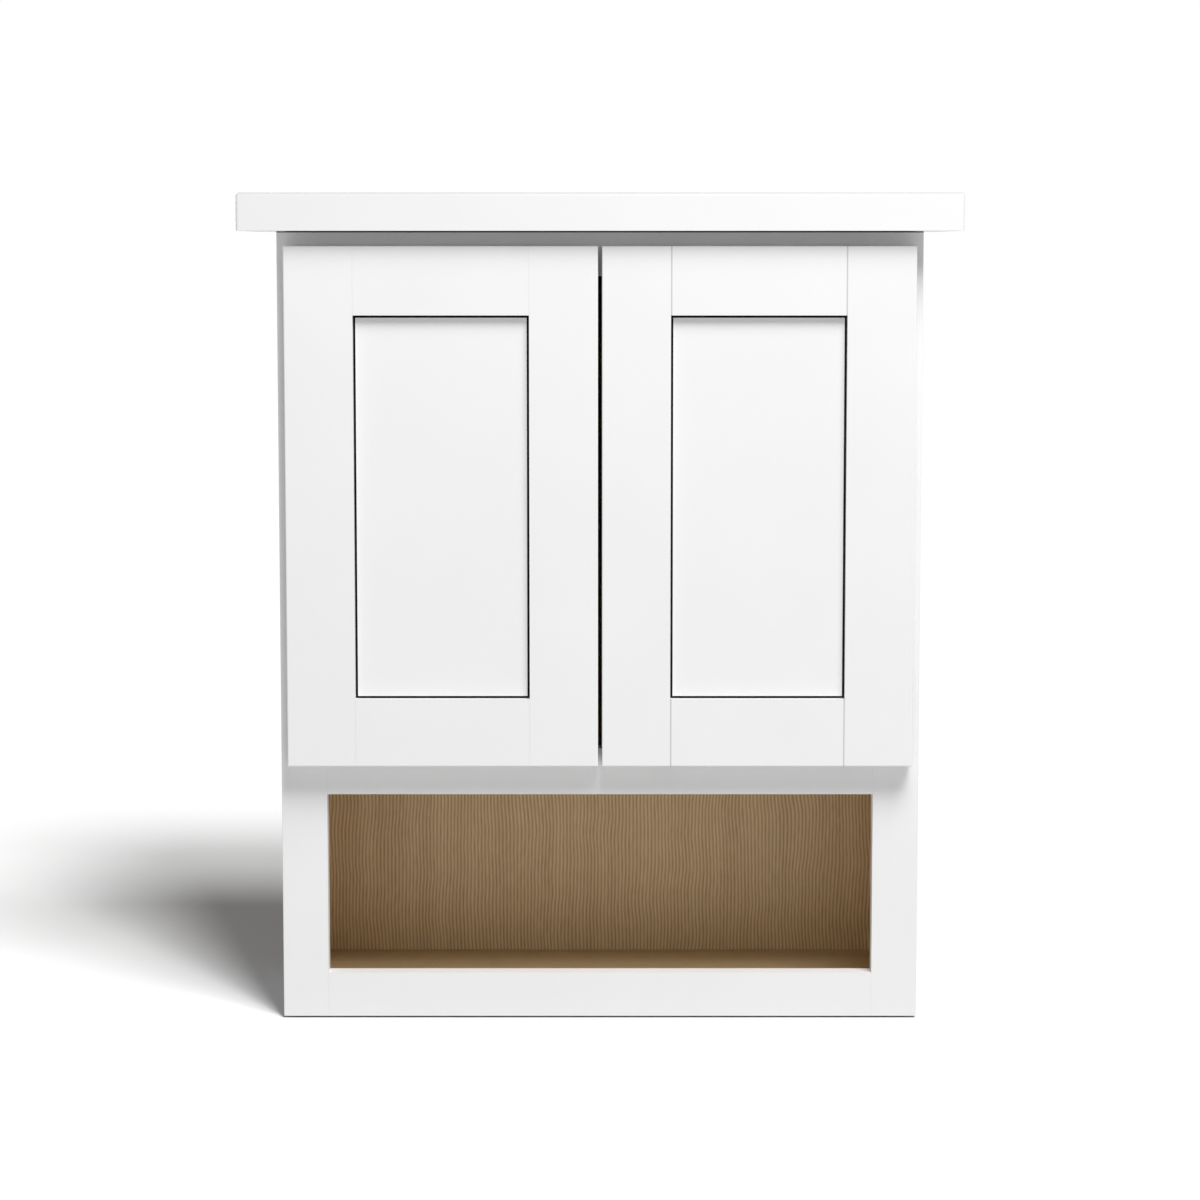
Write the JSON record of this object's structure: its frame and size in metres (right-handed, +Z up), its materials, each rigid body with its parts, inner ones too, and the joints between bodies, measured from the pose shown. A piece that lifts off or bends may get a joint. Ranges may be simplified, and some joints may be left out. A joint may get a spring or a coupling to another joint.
{
  "type": "bathroom wall cabinet",
  "caption": "White face-frame bathroom wall cabinet with hinged framed doors over an open wood-grain cubby, under a thick overhanging cap; hangs on a wall by rails behind its back",
  "frame": {"origin": "Middle of the upper hanging rail's back face, which is screwed to the wall", "axes": "+Z up, +Y towards the wall, so the doors face -Y; +X to the right as seen from the front"},
  "size_m": [0.6792, 0.238, 0.7883],
  "materials": {
    "white_paint": "satin white paint over wood",
    "maple_print": "natural wood-grain print, satin",
    "bare_wood": "bare plywood",
    "nickel_plate": "nickel plated pressed steel",
    "clear_rubber": "cloudy clear soft pad"
  },
  "bodies": {
    "carcass": {"frame_left_stile": "white_paint", "frame_right_stile": "white_paint", "frame_top_rail": "white_paint", "frame_mid_rail": "white_paint", "frame_bottom_rail": "white_paint", "side_panel_left": "white_paint", "side_panel_right": "white_paint", "top_panel": "maple_print", "door_bay_deck": "maple_print", "cubby_floor": "maple_print", "back_panel": "maple_print", "upper_hanging_rail": "bare_wood", "lower_hanging_rail": "bare_wood", "top_cap": "white_paint", "left_lower_hinge_arm": "nickel_plate", "left_lower_hinge_base": "nickel_plate", "left_upper_hinge_arm": "nickel_plate", "left_upper_hinge_base": "nickel_plate", "right_lower_hinge_arm": "nickel_plate", "right_lower_hinge_base": "nickel_plate", "right_upper_hinge_arm": "nickel_plate", "right_upper_hinge_base": "nickel_plate"},
    "left_door": {"left_door_hinge_stile": "white_paint", "left_door_lock_stile": "white_paint", "left_door_top_rail": "white_paint", "left_door_bottom_rail": "white_paint", "left_door_panel": "white_paint", "left_door_lower_bumper": "clear_rubber", "left_door_upper_bumper": "clear_rubber", "left_lower_hinge_cup": "nickel_plate", "left_lower_hinge_pin": "nickel_plate", "left_upper_hinge_cup": "nickel_plate", "left_upper_hinge_pin": "nickel_plate"},
    "right_door": {"right_door_hinge_stile": "white_paint", "right_door_lock_stile": "white_paint", "right_door_top_rail": "white_paint", "right_door_bottom_rail": "white_paint", "right_door_panel": "white_paint", "right_door_lower_bumper": "clear_rubber", "right_door_upper_bumper": "clear_rubber", "right_lower_hinge_cup": "nickel_plate", "right_lower_hinge_pin": "nickel_plate", "right_upper_hinge_cup": "nickel_plate", "right_upper_hinge_pin": "nickel_plate"}
  },
  "joints": [
    {"name": "left_door_swing", "type": "hinge", "parent": "carcass", "child": "left_door", "pos_m": [-0.28886, -0.2157, -0.2219], "axis": [0, 0, -1], "range_deg": [0, 105]},
    {"name": "right_door_swing", "type": "hinge", "parent": "carcass", "child": "right_door", "pos_m": [0.28886, -0.2157, -0.2219], "axis": [0, 0, 1], "range_deg": [0, 105]}
  ]
}
